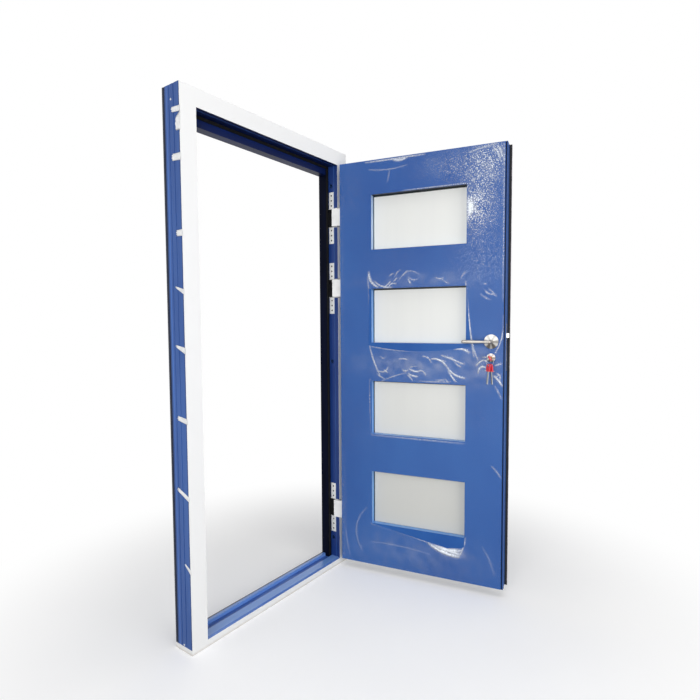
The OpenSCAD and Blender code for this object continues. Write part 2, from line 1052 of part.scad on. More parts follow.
module cylinder_plug() {
    color("#c9a544")
        opened()
            difference() {
                rod_y(axis_x, leaf_y0 - escutcheon_t, leaf_y1 + escutcheon_t, cylinder_z, plug_d);
                leaning()
                    block(-keyway_w / 2, keyway_w / 2, -blade_in - cut, escutcheon_t + cut,
                        -keyway_h / 2, keyway_h / 2);
            }
}

module leaning() {
    translate([axis_x, leaf_y1, cylinder_z])
        rotate([0, key_lean, 0])
            children();
}

// A key drawn upright: its bow's hole is at the origin, and the blade runs towards -Y
module key_shape(blade_len) {
    inner_y = bow_end - bow_len;
    difference() {
        union() {
            translate([-bow_t / 2, bow_end - bow_w / 2, 0])
                rotate([0, 90, 0])
                    cylinder(h = bow_t, d = bow_w);
            block(-bow_t / 2, bow_t / 2, inner_y, bow_end - bow_w / 2, -bow_w / 2, bow_w / 2);
            block(-blade_t / 2, blade_t / 2, inner_y - blade_len, inner_y, -blade_h / 2, blade_h / 2);
        }
        translate([-bow_t / 2 - cut, 0, 0])
            rotate([0, 90, 0])
                cylinder(h = bow_t + 2 * cut, d = bow_hole_d);
    }
}

module key() {
    color(key_red)
        opened()
            leaning()
                translate([0, ring_y - leaf_y1, 0])
                    key_shape(blade_neck + escutcheon_t + blade_in);
}

module key_ring() {
    color(lock_steel)
        opened()
            translate([axis_x, ring_y, cylinder_z - ring_d / 2])
                rotate([90, 0, 0])
                    rotate_extrude()
                        translate([ring_d / 2, 0])
                            circle(d = ring_wire_d);
}

module spare_keys() {
    ring_r = ring_d / 2;
    ring_low = ring_r + sqrt(ring_r * ring_r - spare_spread * spare_spread);
    hang = ring_low + bow_hole_d / 2 - ring_wire_d / 2 - spare_slack;
    color(key_red)
        opened()
            for (side = [-1, 1])
                translate([axis_x + side * spare_spread, ring_y, cylinder_z - hang])
                    rotate([0, -side * spare_splay, 0])
                        rotate([0, 0, spare_turn])
                            rotate([90, 0, 0])
                                key_shape(spare_blade_len);
}

lock_jamb();
hinge_jamb();
frame_head();
threshold();
lock_stop();
hinge_stop();
head_stop();
frame_seal();
strike_plate();
hinge_housing(hinge_zs[0]);  // hinge_housing_1
hinge_housing(hinge_zs[1]);  // hinge_housing_2
hinge_housing(hinge_zs[2]);  // hinge_housing_3
hinge_pins();
housing_screws();
corner_screws();
lock_sheet();
hinge_sheet();
head_sheet();
sill_sheet();
tape_tabs();
hinge_arm(hinge_zs[0]);  // hinge_arm_1
hinge_arm(hinge_zs[1]);  // hinge_arm_2
hinge_arm(hinge_zs[2]);  // hinge_arm_3
arm_screws();
hinge_stile();
lock_stile();
top_rail();
bottom_rail();
leaf_core();
outside_skin();
inside_skin();
lock_edge_flap();
bottom_seal();
lite_frame(3);  // lite_frame_1
lite_frame(2);  // lite_frame_2
lite_frame(1);  // lite_frame_3
lite_frame(0);  // lite_frame_4
glass(3);  // glass_1
glass(2);  // glass_2
glass(1);  // glass_3
glass(0);  // glass_4
glazing_gaskets();
glazing_beads();
lock_case();
faceplate();
lock_screws();
outside_rose();
inside_rose();
outside_escutcheon();
inside_escutcheon();
cylinder_body();
outside_lever();
inside_lever();
spindle();
latch_bolt();
dead_bolt();
cylinder_plug();
key();
key_ring();
spare_keys();
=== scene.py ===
"""Looks of a blue metal entrance door with four frosted lites, standing open in its frame."""
import json
import math

import bpy
import numpy as np
from mathutils import Matrix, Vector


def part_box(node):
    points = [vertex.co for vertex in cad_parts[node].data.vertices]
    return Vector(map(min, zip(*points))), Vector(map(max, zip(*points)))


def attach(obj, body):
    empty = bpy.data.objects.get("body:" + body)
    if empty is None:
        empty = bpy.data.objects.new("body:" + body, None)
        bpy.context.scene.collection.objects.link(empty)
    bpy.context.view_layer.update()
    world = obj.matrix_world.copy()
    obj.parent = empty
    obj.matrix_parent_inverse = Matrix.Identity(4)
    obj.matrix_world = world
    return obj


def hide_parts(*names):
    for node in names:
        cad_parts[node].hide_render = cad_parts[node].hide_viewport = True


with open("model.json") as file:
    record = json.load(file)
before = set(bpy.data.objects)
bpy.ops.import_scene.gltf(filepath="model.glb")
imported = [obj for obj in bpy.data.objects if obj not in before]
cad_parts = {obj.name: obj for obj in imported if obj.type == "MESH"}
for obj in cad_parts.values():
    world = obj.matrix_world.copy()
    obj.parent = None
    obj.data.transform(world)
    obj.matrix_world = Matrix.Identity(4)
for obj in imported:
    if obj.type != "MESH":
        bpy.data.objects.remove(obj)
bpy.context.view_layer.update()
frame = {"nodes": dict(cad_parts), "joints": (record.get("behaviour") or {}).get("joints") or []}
nodes = frame["nodes"]

# Camera: a wide lens at chest height, to the left of the doorway and in front of it,
# looking at the inside of the open frame and the outside of the leaf.
camera_at = (-1.5654, -1.6346, 1.2427)
camera_turn, camera_tilt, camera_roll = -54.967, 3.230, -0.191
camera = bpy.data.objects.new("camera", bpy.data.cameras.new("camera"))
camera.data.sensor_width = 36.0
camera.data.lens = 25.618
camera.data.shift_x = -0.02961
camera.data.shift_y = 0.0028
camera.data.clip_start = 0.05
camera.matrix_world = (
    Matrix.Translation(camera_at)
    @ Matrix.Rotation(math.radians(camera_turn), 4, "Z")
    @ Matrix.Rotation(math.radians(90.0 - camera_tilt), 4, "X")
    @ Matrix.Rotation(math.radians(camera_roll), 4, "Z")
)
scene = bpy.context.scene
scene.collection.objects.link(camera)
scene.camera = camera
scene.view_settings.view_transform = "Standard"


# Studio: a pale floor that fades to white away from the threshold, a white surround and
# three soft lamps: the strongest in front, one to the left for the leaf and a weak one above.
def tint(red, green, blue):
    """A display colour with parts from 0 to 255 as a linear colour with full cover."""
    parts = np.array([red, green, blue]) / 255.0
    linear = np.where(parts <= 0.04045, parts / 12.92, ((parts + 0.055) / 1.055) ** 2.4)
    return (*(float(part) for part in linear), 1.0)


def surface(name, **values):
    """An empty finish: the material, a way to add nodes, a way to link sockets and its shader."""
    material = bpy.data.materials.new(name)
    material.use_nodes = True
    tree = material.node_tree
    shader = tree.nodes["Principled BSDF"]
    for socket, value in values.items():
        shader.inputs[socket.replace("_", " ")].default_value = value

    def add(kind, inputs=None, **settings):
        new = tree.nodes.new("ShaderNode" + kind)
        for key, value in settings.items():
            setattr(new, key, value)
        for key, value in (inputs or {}).items():
            new.inputs[key].default_value = value
        return new

    return material, add, tree.links.new, shader


floor_half = 9.0
floor_mesh = bpy.data.meshes.new("floor")
floor_corners = [(floor_half * x, floor_half * y, 0) for x, y in ((-1, -1), (1, -1), (1, 1), (-1, 1))]
floor_mesh.from_pydata(floor_corners, [], [(0, 1, 2, 3)])
floor = bpy.data.objects.new("floor", floor_mesh)
scene.collection.objects.link(floor)
floor_look, add, link, shader = surface("floor_look", Roughness=0.7)
ray = add("LightPath")
mirrored = add("Math", operation="MAXIMUM")
seen = add("Math", operation="MAXIMUM")
place = add("TexCoord")
grain = add("TexNoise", {"Scale": 3.0, "Detail": 3.0})
pale = add("ValToRGB")
pale.color_ramp.elements[0].color = (0.86, 0.86, 0.87, 1)
pale.color_ramp.elements[1].color = (0.92, 0.92, 0.92, 1)
dim = add("MixRGB", {"Color1": (0.22, 0.22, 0.23, 1)})
reach = add("VectorMath", {1: (0.15, -0.35, 0.0)}, operation="DISTANCE")
far = add("MapRange", {"From Min": 0.75, "From Max": 1.9}, interpolation_type="SMOOTHSTEP")
white_far = add("Math", operation="MULTIPLY")
bright = add("Emission", {"Color": (1, 1, 1, 1), "Strength": 1.0})
blend = add("MixShader")
link(ray.outputs["Is Glossy Ray"], mirrored.inputs[0])
link(ray.outputs["Is Transmission Ray"], mirrored.inputs[1])
link(ray.outputs["Is Camera Ray"], seen.inputs[0])
link(mirrored.outputs[0], seen.inputs[1])
link(place.outputs["Object"], grain.inputs["Vector"])
link(grain.outputs[0], pale.inputs["Fac"])
link(seen.outputs[0], dim.inputs["Fac"])
link(pale.outputs["Color"], dim.inputs["Color2"])
link(dim.outputs["Color"], shader.inputs["Base Color"])
shader.inputs["Emission Color"].default_value = (1, 1, 1, 1)
lift = add("Math", {1: 0.16}, operation="MULTIPLY")
link(seen.outputs[0], lift.inputs[0])
link(lift.outputs[0], shader.inputs["Emission Strength"])
link(place.outputs["Object"], reach.inputs[0])
link(reach.outputs["Value"], far.inputs["Value"])
link(far.outputs["Result"], white_far.inputs[0])
link(seen.outputs[0], white_far.inputs[1])
link(white_far.outputs[0], blend.inputs["Fac"])
link(shader.outputs["BSDF"], blend.inputs[1])
link(bright.outputs["Emission"], blend.inputs[2])
link(blend.outputs["Shader"], floor_look.node_tree.nodes["Material Output"].inputs["Surface"])
floor_mesh.materials.append(floor_look)

world = bpy.data.worlds.new("studio")
world.use_nodes = True
scene.world = world
sky = world.node_tree
glow = sky.nodes["Background"]
glow.inputs["Color"].default_value = (1, 1, 1, 1)
path = sky.nodes.new("ShaderNodeLightPath")
through = sky.nodes.new("ShaderNodeMath")
through.operation = "MAXIMUM"
shown = sky.nodes.new("ShaderNodeMath")
shown.operation = "MAXIMUM"
strength = sky.nodes.new("ShaderNodeMapRange")
strength.inputs["To Min"].default_value = 0.40
strength.inputs["To Max"].default_value = 1.0
sky.links.new(path.outputs["Is Glossy Ray"], through.inputs[0])
sky.links.new(path.outputs["Is Transmission Ray"], through.inputs[1])
sky.links.new(path.outputs["Is Camera Ray"], shown.inputs[0])
sky.links.new(through.outputs[0], shown.inputs[1])
sky.links.new(shown.outputs[0], strength.inputs["Value"])
sky.links.new(strength.outputs["Result"], glow.inputs["Strength"])

lamps = {
    # place, aim, size and power
    "lamp_left": ((-3.2, -1.6, 1.4), (0.4, -0.45, 1.1), 2.4, 72.0),
    "lamp_front": ((-0.6, -4.2, 0.8), (0.0, 0.0, 0.5), 2.6, 82.0),
    "lamp_above": ((-0.2, -1.2, 4.2), (0.1, -0.3, 0.0), 2.2, 22.0),
}
for lamp_name, (lamp_at, lamp_aim, lamp_size, lamp_power) in lamps.items():
    lamp = bpy.data.objects.new(lamp_name, bpy.data.lights.new(lamp_name, "AREA"))
    lamp.data.size = lamp_size
    lamp.data.energy = lamp_power
    back = np.array(lamp_at) - np.array(lamp_aim)
    flat = math.hypot(back[0], back[1])
    lamp.matrix_world = (
        Matrix.Translation(lamp_at)
        @ Matrix.Rotation(math.atan2(back[0], -back[1]), 4, "Z")
        @ Matrix.Rotation(math.atan2(flat, back[2]), 4, "X")
    )
    scene.collection.objects.link(lamp)


# Frame profiles: hollow aluminium jambs and head, powder-coated blue, screwed together at the corners; the
# lock jamb's side has stripes of painted light and shade along its ridges, and painted shade darkens the coat
# in the rebate and under the head.
def coated(name, dark, light, scale=5.0, stretch=(1, 1, 1), grain=0.08, grain_scale=700.0, **values):
    """A coat whose tone drifts between two colours by a stretched noise, with fine grain and soft edges."""
    material, add, link, shader = surface(name, **values)
    place = add("TexCoord")
    spread = add("Mapping", {"Scale": stretch})
    drift = add("TexNoise", {"Scale": scale, "Detail": 6.0, "Roughness": 0.6})
    tone = add("ValToRGB")
    tone.color_ramp.elements[0].position = 0.32
    tone.color_ramp.elements[0].color = dark
    tone.color_ramp.elements[1].position = 0.68
    tone.color_ramp.elements[1].color = light
    fine = add("TexNoise", {"Scale": grain_scale, "Detail": 2.0})
    soft = add("Bevel", {"Radius": 0.0012}, samples=4)
    bump = add("Bump", {"Strength": grain, "Distance": 0.0005})
    link(place.outputs["Object"], spread.inputs["Vector"])
    link(spread.outputs["Vector"], drift.inputs["Vector"])
    link(drift.outputs[0], tone.inputs["Fac"])
    link(tone.outputs["Color"], shader.inputs["Base Color"])
    link(place.outputs["Object"], fine.inputs["Vector"])
    link(fine.outputs[0], bump.inputs["Height"])
    link(soft.outputs["Normal"], bump.inputs["Normal"])
    link(bump.outputs["Normal"], shader.inputs["Normal"])
    return material


def past(material, axis, start, shade):
    """Multiplies a finish's colour by a shade on the side of a plane that its axis points to."""
    tree = material.node_tree
    entry = tree.nodes["Principled BSDF"].inputs["Base Color"]
    coat = entry.links[0].from_socket
    place = tree.nodes.new("ShaderNodeTexCoord")
    along = tree.nodes.new("ShaderNodeVectorMath")
    along.operation = "DOT_PRODUCT"
    along.inputs[1].default_value = tuple(axis)
    side = tree.nodes.new("ShaderNodeMath")
    side.operation = "GREATER_THAN"
    side.inputs[1].default_value = start
    shaded = tree.nodes.new("ShaderNodeMixRGB")
    shaded.blend_type = "MULTIPLY"
    shaded.inputs["Color2"].default_value = shade
    tree.links.new(place.outputs["Object"], along.inputs[0])
    tree.links.new(along.outputs["Value"], side.inputs[0])
    tree.links.new(side.outputs[0], shaded.inputs["Fac"])
    tree.links.new(coat, shaded.inputs["Color1"])
    tree.links.new(shaded.outputs["Color"], entry)
    return material


def dress(material, *names):
    """Gives the material to every slot of the named pieces."""
    for name in names:
        for slot in nodes[name].material_slots:
            slot.material = material


frame_blues = dict(dark=tint(40, 76, 142), light=tint(58, 96, 164), scale=3.0, stretch=(4, 4, 0.6),
                   Roughness=0.34, Specular_IOR_Level=0.25)
# Painted shade: the coat is multiplied darker in the rebates and under the head.
rebate_wall, rebate_shade = 0.4085, (0.42, 0.45, 0.62, 1)
head_underside, head_shade = 2.0315, (0.10, 0.12, 0.22, 1)
ridge_light_stripes = (
    # where each stripe of painted light and shade on the lock jamb's side starts, and its shade times that of
    # the stripes before it
    (-0.060, 0.6), (-0.046, 1.75), (0.0204, 1.4), (0.0286, 0.52), (0.039, 0.12), (0.0508, 10.9),
)
hinge_jamb_coat = coated("hinge_jamb_coat", **frame_blues)
dress(past(hinge_jamb_coat, (-1, 0, 0), -rebate_wall, rebate_shade), "hinge_jamb")
lock_jamb_coat = past(coated("lock_jamb_coat", **frame_blues), (1, 0, 0), -rebate_wall, rebate_shade)
for ridge_y, ridge_shade in ridge_light_stripes:
    past(lock_jamb_coat, (0, 1, 0), ridge_y, (ridge_shade, ridge_shade, ridge_shade, 1))
dress(lock_jamb_coat, "lock_jamb")
dress(past(coated("head_coat", **frame_blues), (0, 0, -1), -head_underside, head_shade), "frame_head")

# Threshold: one blue-coated sill under the jambs, striped by depth with painted reflection on its tread and
# on the top of the upstand and painted shade in the groove in front of the upstand, and paler in patches by a
# stretched noise.
painted_tread_stripes = [
    # share of the depth from the front at which each stripe starts, and its colour: painted reflection on the
    # tread and the upstand's top, painted shade in the groove
    (0.0, tint(66, 106, 182)),
    (0.1, tint(104, 146, 212)),
    (0.5, tint(52, 88, 160)),
    (0.775, tint(96, 138, 208)),
    (0.92, tint(18, 24, 40)),
    (0.997, tint(52, 88, 160)),
]
half_deep = 0.051
threshold_look, add, link, shader = surface(
    "threshold_look", Roughness=0.3, Coat_Weight=0.3, Coat_Roughness=0.15)
place = add("TexCoord")
depth = add("SeparateXYZ")
inward = add("MapRange", {"From Min": -half_deep, "From Max": half_deep})
stripes = add("ValToRGB")
stripes.color_ramp.interpolation = "CONSTANT"
for stripe, (start, colour) in enumerate(painted_tread_stripes):
    element = stripes.color_ramp.elements[stripe] if stripe < 2 else stripes.color_ramp.elements.new(start)
    element.position = start
    element.color = colour
run = add("Mapping", {"Scale": (0.8, 6, 6)})
patch_noise = add("TexNoise", {"Scale": 5.0, "Detail": 6.0})
# Paler patches by a stretched noise over the painted stripes.
pale_patch = add("MixRGB", {"Color2": tint(150, 180, 226)})
patch_amount = add("MapRange", {"From Min": 0.45, "From Max": 0.8, "To Max": 0.4})
link(place.outputs["Object"], depth.inputs["Vector"])
link(depth.outputs["Y"], inward.inputs["Value"])
link(inward.outputs["Result"], stripes.inputs["Fac"])
link(place.outputs["Object"], run.inputs["Vector"])
link(run.outputs["Vector"], patch_noise.inputs["Vector"])
link(patch_noise.outputs[0], patch_amount.inputs["Value"])
link(patch_amount.outputs["Result"], pale_patch.inputs["Fac"])
link(stripes.outputs["Color"], pale_patch.inputs["Color1"])
link(pale_patch.outputs["Color"], shader.inputs["Base Color"])
dress(threshold_look, "threshold")

# Stops and seals: black extruded profiles with a blue cast round the inside of the frame, the head stop
# tinted navy as painted shade of the blue reveal under the head, and matt rubber lips on them, on the leaf's
# edges and round the glass.
stop_coat = coated("stop_coat", tint(4, 7, 20), tint(10, 16, 40), scale=6.0, stretch=(3, 3, 0.5),
                   Roughness=0.5, Specular_IOR_Level=0.04)
dress(stop_coat, "lock_stop", "hinge_stop")
# Painted shade: the black head stop is tinted navy like the shaded reveal under the head.
head_stop_shade_coat = coated("head_stop_shade_coat", tint(4, 16, 54), tint(12, 34, 92), scale=6.0, stretch=(0.5, 3, 3),
                        Roughness=0.4, Specular_IOR_Level=0.15)
dress(head_stop_shade_coat, "head_stop")
rubber_blacks = dict(dark=tint(9, 9, 10), light=tint(22, 22, 24), scale=30.0, grain=0.2, Roughness=0.75)
rubber = coated("rubber", **rubber_blacks, Specular_IOR_Level=0.15)
dress(rubber, "frame_seal", "bottom_seal", "glazing_gaskets")

# Hinges: pale zinc housings let into the hinge jamb, with painted shade inside the pocket, swan-neck arms on
# the leaf, steel pins and dark countersunk screws.
# Painted shade: the inside of each housing's pocket is darkened by position.
pocket_from, pocket_shade = 0.4103, (0.05, 0.05, 0.06, 1)
housing_zinc = coated("housing_zinc", tint(228, 230, 229), tint(250, 250, 248), scale=18.0, grain=0.12,
                      Metallic=0.1, Roughness=0.42)
dress(past(housing_zinc, (1, 0, 0), pocket_from, pocket_shade),
      "hinge_housing_1", "hinge_housing_2", "hinge_housing_3")
dress(coated("arm_zinc", tint(232, 232, 232), tint(250, 250, 250), scale=18.0, grain=0.1, Roughness=0.4),
      "hinge_arm_1", "hinge_arm_2", "hinge_arm_3")
steel = coated("steel", tint(150, 150, 148), tint(196, 195, 190), scale=60.0, stretch=(1, 1, 8),
               Metallic=0.9, Roughness=0.32)
dress(steel, "hinge_pins", "strike_plate", "faceplate", "lock_case", "latch_bolt", "dead_bolt", "spindle",
      "lock_screws", "key_ring")
dark_steel = coated("dark_steel", tint(8, 8, 10), tint(26, 26, 30), scale=80.0,
                    Roughness=0.5, Specular_IOR_Level=0.1)
dress(dark_steel, "housing_screws", "arm_screws")
white_steel = coated("white_steel", tint(214, 214, 212), tint(240, 240, 238), scale=80.0, Roughness=0.45)
dress(white_steel, "corner_screws")

# Protective sheet: white card-like film on the frame's front face, lapped round the foot of
# the lock jamb, a little dingy at the floor.
sheet_look, add, link, shader = surface("sheet_look", Roughness=0.55)
place = add("TexCoord")
level = add("SeparateXYZ")
low = add("MapRange", {"From Min": 0.0, "From Max": 0.012, "To Min": 0.75, "To Max": 0.0})
blotch = add("TexNoise", {"Scale": 9.0, "Detail": 6.0})
dirt = add("Math", operation="MULTIPLY")
white = add("MixRGB", {"Color1": tint(243, 243, 242), "Color2": tint(176, 158, 132)})
wave = add("TexNoise", {"Scale": 14.0, "Detail": 3.0})
ripple = add("Bump", {"Strength": 0.12, "Distance": 0.002})
link(place.outputs["Object"], level.inputs["Vector"])
link(level.outputs["Z"], low.inputs["Value"])
link(place.outputs["Object"], blotch.inputs["Vector"])
link(low.outputs["Result"], dirt.inputs[0])
link(blotch.outputs[0], dirt.inputs[1])
link(dirt.outputs[0], white.inputs["Fac"])
link(white.outputs["Color"], shader.inputs["Base Color"])
link(place.outputs["Object"], wave.inputs["Vector"])
link(wave.outputs[0], ripple.inputs["Height"])
link(ripple.outputs["Normal"], shader.inputs["Normal"])
dress(sheet_look, "lock_sheet", "hinge_sheet", "head_sheet", "sill_sheet")

# Tape tabs: torn strips of white tape that hold the sheet, each lapped from the front edge
# round onto the lock jamb's side. Below the top one a longer lap ends in a slanted tear.
tab_edge_x, tab_face_y = -0.4773, -0.0521
tab_face, tab_thick = 0.002, 0.0003
tab_along, tab_across = 25, 11
tab_rows = [
    # height, width, reach on the side, slant, lift of the end, taper
    (2.0050, 0.021, 0.046, 0.06, 0.002, 0.10),
    (1.9620, 0.064, 0.024, -0.35, 0.001, 0.30),
    (1.8390, 0.027, 0.050, 0.05, 0.001, 0.10),
    (1.5710, 0.024, 0.034, 0.00, 0.001, 0.10),
    (1.3600, 0.019, 0.048, 0.40, 0.001, 0.70),
    (1.1460, 0.024, 0.054, 0.32, 0.001, 0.60),
    (0.8870, 0.021, 0.054, 0.18, 0.001, 0.15),
    (0.5980, 0.019, 0.066, 0.45, 0.001, 0.20),
    (0.3220, 0.019, 0.030, 0.80, 0.002, 0.60),
]


def tape_tab(height, width, reach, slant, lift, taper, seed):
    """A strip round a corner: along it from the face to the side and across it up the jamb.

    Its end is torn by a sum of two sines and rounded off at the corners, and it curls away by a square.
    """
    along, across = np.meshgrid(
        np.linspace(0, 1, tab_along), np.linspace(-0.5, 0.5, tab_across), indexing="ij")
    tear = 0.07 * np.sin(19 * across + seed) + 0.05 * np.sin(41 * across + 2.3 * seed)
    torn = 1 + tear - 0.25 * np.abs(across) ** 1.5
    run = along * (tab_face + reach * torn)
    side = np.clip(run - tab_face, 0, None)
    curl = lift * (side / reach) ** 2 * (1 + 0.4 * np.sin(9 * across + seed))
    x = tab_edge_x + np.clip(tab_face - run, 0, None) - curl
    y = tab_face_y + side
    z = height + width * across * (1 - taper * side / reach) + slant * side
    return np.stack([x, y, z], -1)


def grid_faces(rows, columns, start=0):
    """Corner numbers of the quads of a grid whose points run column by column in each row."""
    index = start + np.arange(rows * columns).reshape(rows, columns)
    return np.stack([index[:-1, :-1], index[1:, :-1], index[1:, 1:], index[:-1, 1:]], -1).reshape(-1, 4)


def mesh_of(name, points, faces):
    """A smooth-shaded object from points in the shared frame and quads of corner numbers."""
    mesh = bpy.data.meshes.new(name)
    mesh.from_pydata(points.reshape(-1, 3).tolist(), [], faces.tolist())
    mesh.polygons.foreach_set("use_smooth", np.ones(len(faces), bool))
    mesh.update()
    made = bpy.data.objects.new(name, mesh)
    scene.collection.objects.link(made)
    return made


tabs = [tape_tab(*row, seed=1.7 * n) for n, row in enumerate(tab_rows)]
tab_faces = [grid_faces(tab_along, tab_across, n * tab_along * tab_across)[:, ::-1] for n in range(len(tabs))]
tape = mesh_of("tape", np.concatenate([tab.reshape(-1, 3) for tab in tabs]), np.concatenate(tab_faces))
tape.data.materials.append(coated("tape_look", tint(226, 227, 228), tint(250, 250, 250), scale=60.0,
                                  grain=0.3, grain_scale=160.0, Roughness=0.5))
thick = tape.modifiers.new("thick", "SOLIDIFY")
thick.thickness = tab_thick
thick.offset = 0.0
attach(tape, "frame")
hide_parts("tape_tabs")

# Leaf: steel skins over tubes and a foam core, coated in much the frame's blue, with painted shade in the
# groove and a pale-edged rubber flap along the lock edge. The linings of the lites are painted a paler blue
# for the light they catch, lite 1's palest, with painted shade under their tops.
turn = next(joint for joint in frame["joints"] if joint["name"] == "lever_turn")
out = np.array(turn["axis"]) / np.linalg.norm(turn["axis"])
across_leaf = np.array([-out[1], out[0], 0.0])
lever_at = np.array(turn["pos_m"])
lever_u, lever_v, half_leaf = 0.746, 1.124, 0.029
leaf_corner = lever_at + half_leaf * out - lever_u * across_leaf - np.array([0, 0, lever_v])
hinge_edge = float(across_leaf @ leaf_corner)
leaf_blues = dict(dark=tint(33, 78, 151), light=tint(51, 100, 171), scale=1.6, stretch=(1, 1, 0.5),
                  grain=0.05, Roughness=0.42, Specular_IOR_Level=0.15)
dress(coated("leaf_coat", **leaf_blues),
      "hinge_stile", "top_rail", "bottom_rail", "outside_skin", "inside_skin", "glazing_beads")
# Painted shade: the groove along the lock edge is darkened by position.
groove_from, groove_to, flap_edge = 0.7988, 0.8043, 0.8187
groove_shade, past_groove, flap_pale = (0.06, 0.06, 0.09, 1), (13.0, 13.0, 9.0, 1), (70, 62, 60, 1)
lock_edge_coat = coated("lock_edge_coat", **leaf_blues)
past(lock_edge_coat, across_leaf, hinge_edge + groove_from, groove_shade)
dress(past(lock_edge_coat, across_leaf, hinge_edge + groove_to, past_groove), "lock_stile")
lite_foot, lite_pitch, lite_high, lite_count = 0.250, 0.4505, 0.262, 4
# Painted light: the linings are paler blues than the leaf for the light they catch, lite 1's palest; painted
# shade under their tops.
palest_lit_blues = (tint(150, 180, 222), tint(190, 210, 238))
lit_blues = (tint(84, 138, 210), tint(122, 172, 230))
shade_lap, top_shade = 0.0003, (0.02, 0.03, 0.04, 1)
for number in range(1, lite_count + 1):
    lining = f"lite_frame_{number}"
    lining_top = lite_foot + (lite_count - number) * lite_pitch + lite_high
    lining_lit_blues = palest_lit_blues if number == 1 else lit_blues
    lining_coat = coated(lining + "_coat", *lining_lit_blues, scale=4.0, grain=0.05, Roughness=0.3)
    dress(past(lining_coat, (0, 0, 1), lining_top - shade_lap, top_shade), lining)
flap_rubber = coated("flap_rubber", **rubber_blacks)
dress(past(flap_rubber, across_leaf, hinge_edge + flap_edge, flap_pale), "lock_edge_flap")
foam = coated("foam", tint(206, 196, 150), tint(226, 218, 180), scale=200.0, grain=0.5, Roughness=0.9)
dress(foam, "leaf_core")

# Lites: sealed units of frosted glass, an even off-white with very faint upright bands, with painted shade
# greying them a little towards the floor. A dark band of painted shade from the reveal runs along the top and
# the hinge side of each, standing for the dark spacer too.
lite_left, lite_right = 0.168, 0.632
spacer_shade_top, spacer_shade_side = 0.006, 0.004
glass_look, add, link, shader = surface("glass_look", Roughness=0.34, Transmission_Weight=0.1, IOR=1.45)
place = add("TexCoord")
bands = add("Mapping", {"Scale": (9, 9, 0.25)})
fold = add("TexNoise", {"Scale": 3.0, "Detail": 4.0})
shade = add("ValToRGB")
shade.color_ramp.elements[0].position = 0.2
shade.color_ramp.elements[0].color = tint(238, 239, 236)
shade.color_ramp.elements[1].position = 0.8
shade.color_ramp.elements[1].color = tint(241, 242, 238)
# Painted shade: the glass greys a little towards the floor.
level = add("SeparateXYZ")
low = add("MapRange", {"From Min": 0.2, "From Max": 1.1, "To Min": 0.85, "To Max": 0.0})
grey = add("MixRGB", {"Color2": tint(204, 204, 198)})
frost = add("TexNoise", {"Scale": 1200.0, "Detail": 2.0})
etch = add("Bump", {"Strength": 0.15, "Distance": 0.0004})
link(place.outputs["Object"], bands.inputs["Vector"])
link(bands.outputs["Vector"], fold.inputs["Vector"])
link(fold.outputs[0], shade.inputs["Fac"])
link(place.outputs["Object"], level.inputs["Vector"])
link(level.outputs["Z"], low.inputs["Value"])
link(low.outputs["Result"], grey.inputs["Fac"])
link(shade.outputs["Color"], grey.inputs["Color1"])
raised = add("Math", {1: lite_foot}, operation="SUBTRACT")
in_lite_z = add("Math", {1: lite_pitch}, operation="FLOORED_MODULO")
# Painted shade from the reveal, standing for the dark spacer too: a dark band along the top and the hinge
# side of each lite.
at_top = add("Math", {1: lite_high - spacer_shade_top}, operation="GREATER_THAN")
sideways = add("VectorMath", {1: tuple(across_leaf)}, operation="DOT_PRODUCT")
at_side = add("Math", {1: hinge_edge + lite_left + spacer_shade_side}, operation="LESS_THAN")
at_edge = add("Math", operation="MAXIMUM")
spacer_and_shade = add("MixRGB", {"Color2": tint(16, 30, 34)})
link(level.outputs["Z"], raised.inputs[0])
link(raised.outputs[0], in_lite_z.inputs[0])
link(in_lite_z.outputs[0], at_top.inputs[0])
link(place.outputs["Object"], sideways.inputs[0])
link(sideways.outputs["Value"], at_side.inputs[0])
link(at_top.outputs[0], at_edge.inputs[0])
link(at_side.outputs[0], at_edge.inputs[1])
link(at_edge.outputs[0], spacer_and_shade.inputs["Fac"])
link(grey.outputs["Color"], spacer_and_shade.inputs["Color1"])
link(spacer_and_shade.outputs["Color"], shader.inputs["Base Color"])
link(place.outputs["Object"], frost.inputs["Vector"])
link(frost.outputs[0], etch.inputs["Height"])
link(etch.outputs["Normal"], shader.inputs["Normal"])
dress(glass_look, "glass_1", "glass_2", "glass_3", "glass_4")


